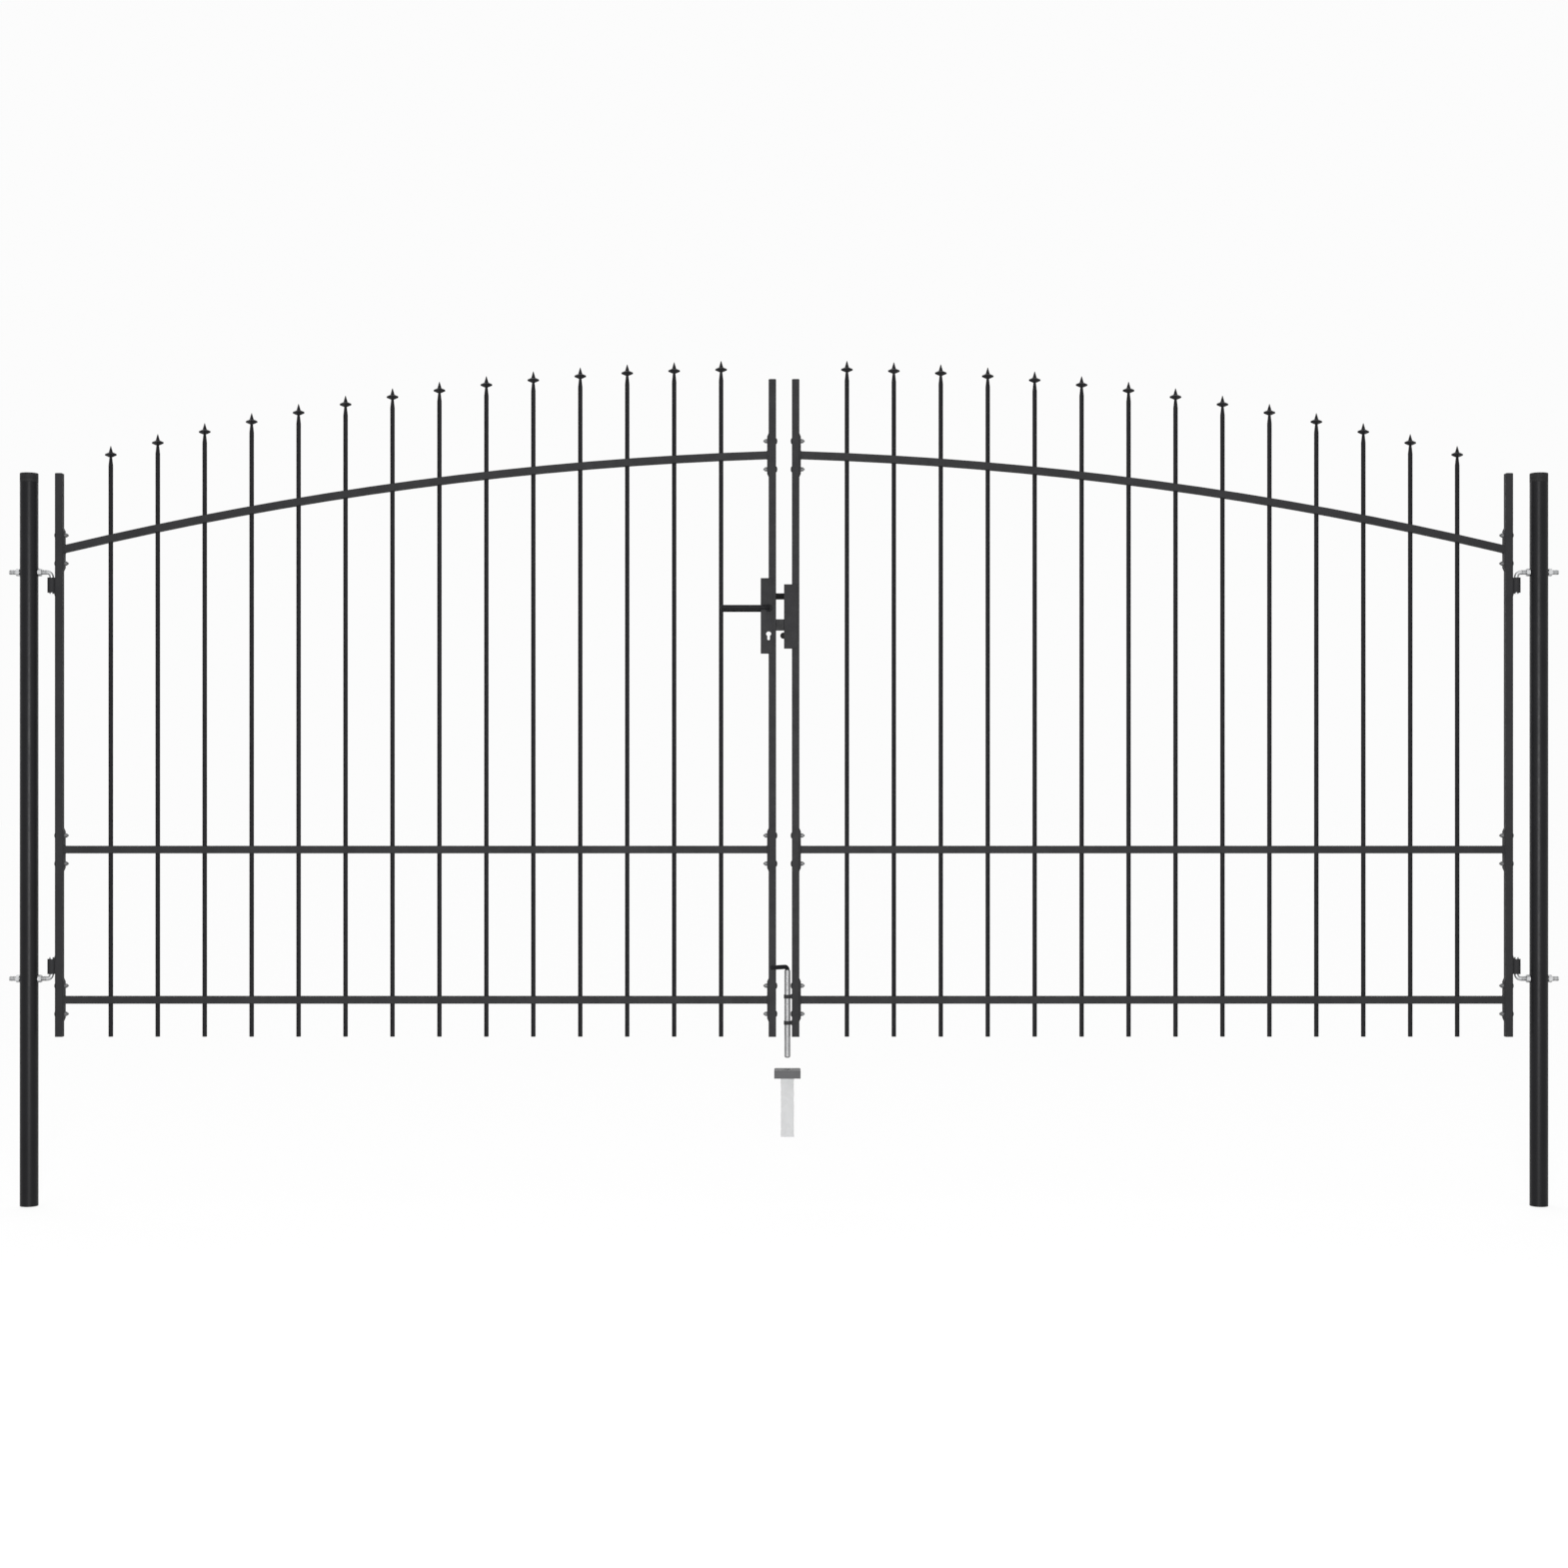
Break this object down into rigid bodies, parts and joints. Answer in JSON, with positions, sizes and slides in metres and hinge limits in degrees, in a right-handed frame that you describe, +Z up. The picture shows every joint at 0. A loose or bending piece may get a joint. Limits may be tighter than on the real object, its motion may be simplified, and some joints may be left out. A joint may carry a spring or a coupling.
{
  "type": "double-leaf driveway gate",
  "caption": "Double-leaf driveway gate of square steel tube with arched top rails, spear-topped round pickets, pintle hinges on round posts, a lever lock and a drop bolt.",
  "frame": {"origin": "middle of the left post's foot face", "axes": "+X along the gate from the left post to the right post, +Y to the side that the leaves open to, +Z up"},
  "size_m": [4.124, 0.109, 2.2487],
  "materials": {
    "black_coat": "satin black powder coat",
    "lever_coat": "black powder coat",
    "zinc": "bright zinc plating",
    "galvanised": "dull galvanised",
    "socket_grey": "mid-grey coat",
    "bolt_steel": "blackened steel",
    "cap_plastic": "matt black plastic",
    "buffer_rubber": "black rubber"
  },
  "bodies": {
    "posts": {"left_post": "black_coat", "right_post": "black_coat", "left_post_cap": "cap_plastic", "right_post_cap": "cap_plastic", "left_upper_pintle": "zinc", "left_lower_pintle": "zinc", "right_upper_pintle": "zinc", "right_lower_pintle": "zinc", "left_hinge_nuts": "zinc", "right_hinge_nuts": "zinc", "ground_socket_collar": "socket_grey", "ground_socket_tube": "galvanised"},
    "left_leaf": {"left_hinge_stile": "black_coat", "left_lock_stile": "black_coat", "left_stile_caps": "cap_plastic", "left_hinge_barrels": "black_coat", "left_top_rail": "black_coat", "left_mid_rail": "black_coat", "left_bottom_rail": "black_coat", "left_pickets": "black_coat", "left_spears": "black_coat", "lock_case": "black_coat", "lock_front_plate": "black_coat", "lock_back_plate": "black_coat"},
    "right_leaf": {"right_hinge_stile": "black_coat", "right_lock_stile": "black_coat", "right_stile_caps": "cap_plastic", "right_hinge_barrels": "black_coat", "right_top_rail": "black_coat", "right_mid_rail": "black_coat", "right_bottom_rail": "black_coat", "right_pickets": "black_coat", "right_spears": "black_coat", "keeper_front_plate": "black_coat", "keeper_back_plate": "black_coat", "keeper_strike": "black_coat", "keeper_buffer": "buffer_rubber", "drop_bolt_guides": "black_coat"},
    "lever": {"lever_front": "lever_coat", "lever_back": "lever_coat", "lever_spindle": "zinc"},
    "latch": {"latch_bolt": "bolt_steel"},
    "dead_bolt": {"deadbolt": "bolt_steel"},
    "drop_rod": {"drop_bolt": "zinc", "drop_bolt_handle": "lever_coat"}
  },
  "joints": [
    {"name": "left_leaf_swing", "type": "hinge", "parent": "posts", "child": "left_leaf", "pos_m": [0.06, 0, 0.6045], "axis": [0, 0, 1], "range_deg": [0, 100]},
    {"name": "right_leaf_swing", "type": "hinge", "parent": "posts", "child": "right_leaf", "pos_m": [3.96, 0, 0.6045], "axis": [0, 0, -1], "range_deg": [0, 100]},
    {"name": "lever_turn", "type": "hinge", "parent": "left_leaf", "child": "lever", "pos_m": [1.969, 0, 1.59], "axis": [0, -1, 0], "range_deg": [0, 40], "stiffness_Nm_per_rad": 1.2, "springref_deg": -28.65},
    {"name": "latch_slide", "type": "slide", "parent": "left_leaf", "child": "latch", "axis": [-1, 0, 0], "range_m": [0, 0.012]},
    {"name": "deadbolt_slide", "type": "slide", "parent": "left_leaf", "child": "dead_bolt", "axis": [-1, 0, 0], "range_m": [-0.014, 0.012]},
    {"name": "drop_bolt_slide", "type": "slide", "parent": "right_leaf", "child": "drop_rod", "axis": [0, 0, 1], "range_m": [-0.06, 0]}
  ],
  "couplings": [
    {"joint": "latch_slide", "follows": "lever_turn", "m_per_rad": 0.01718}
  ]
}
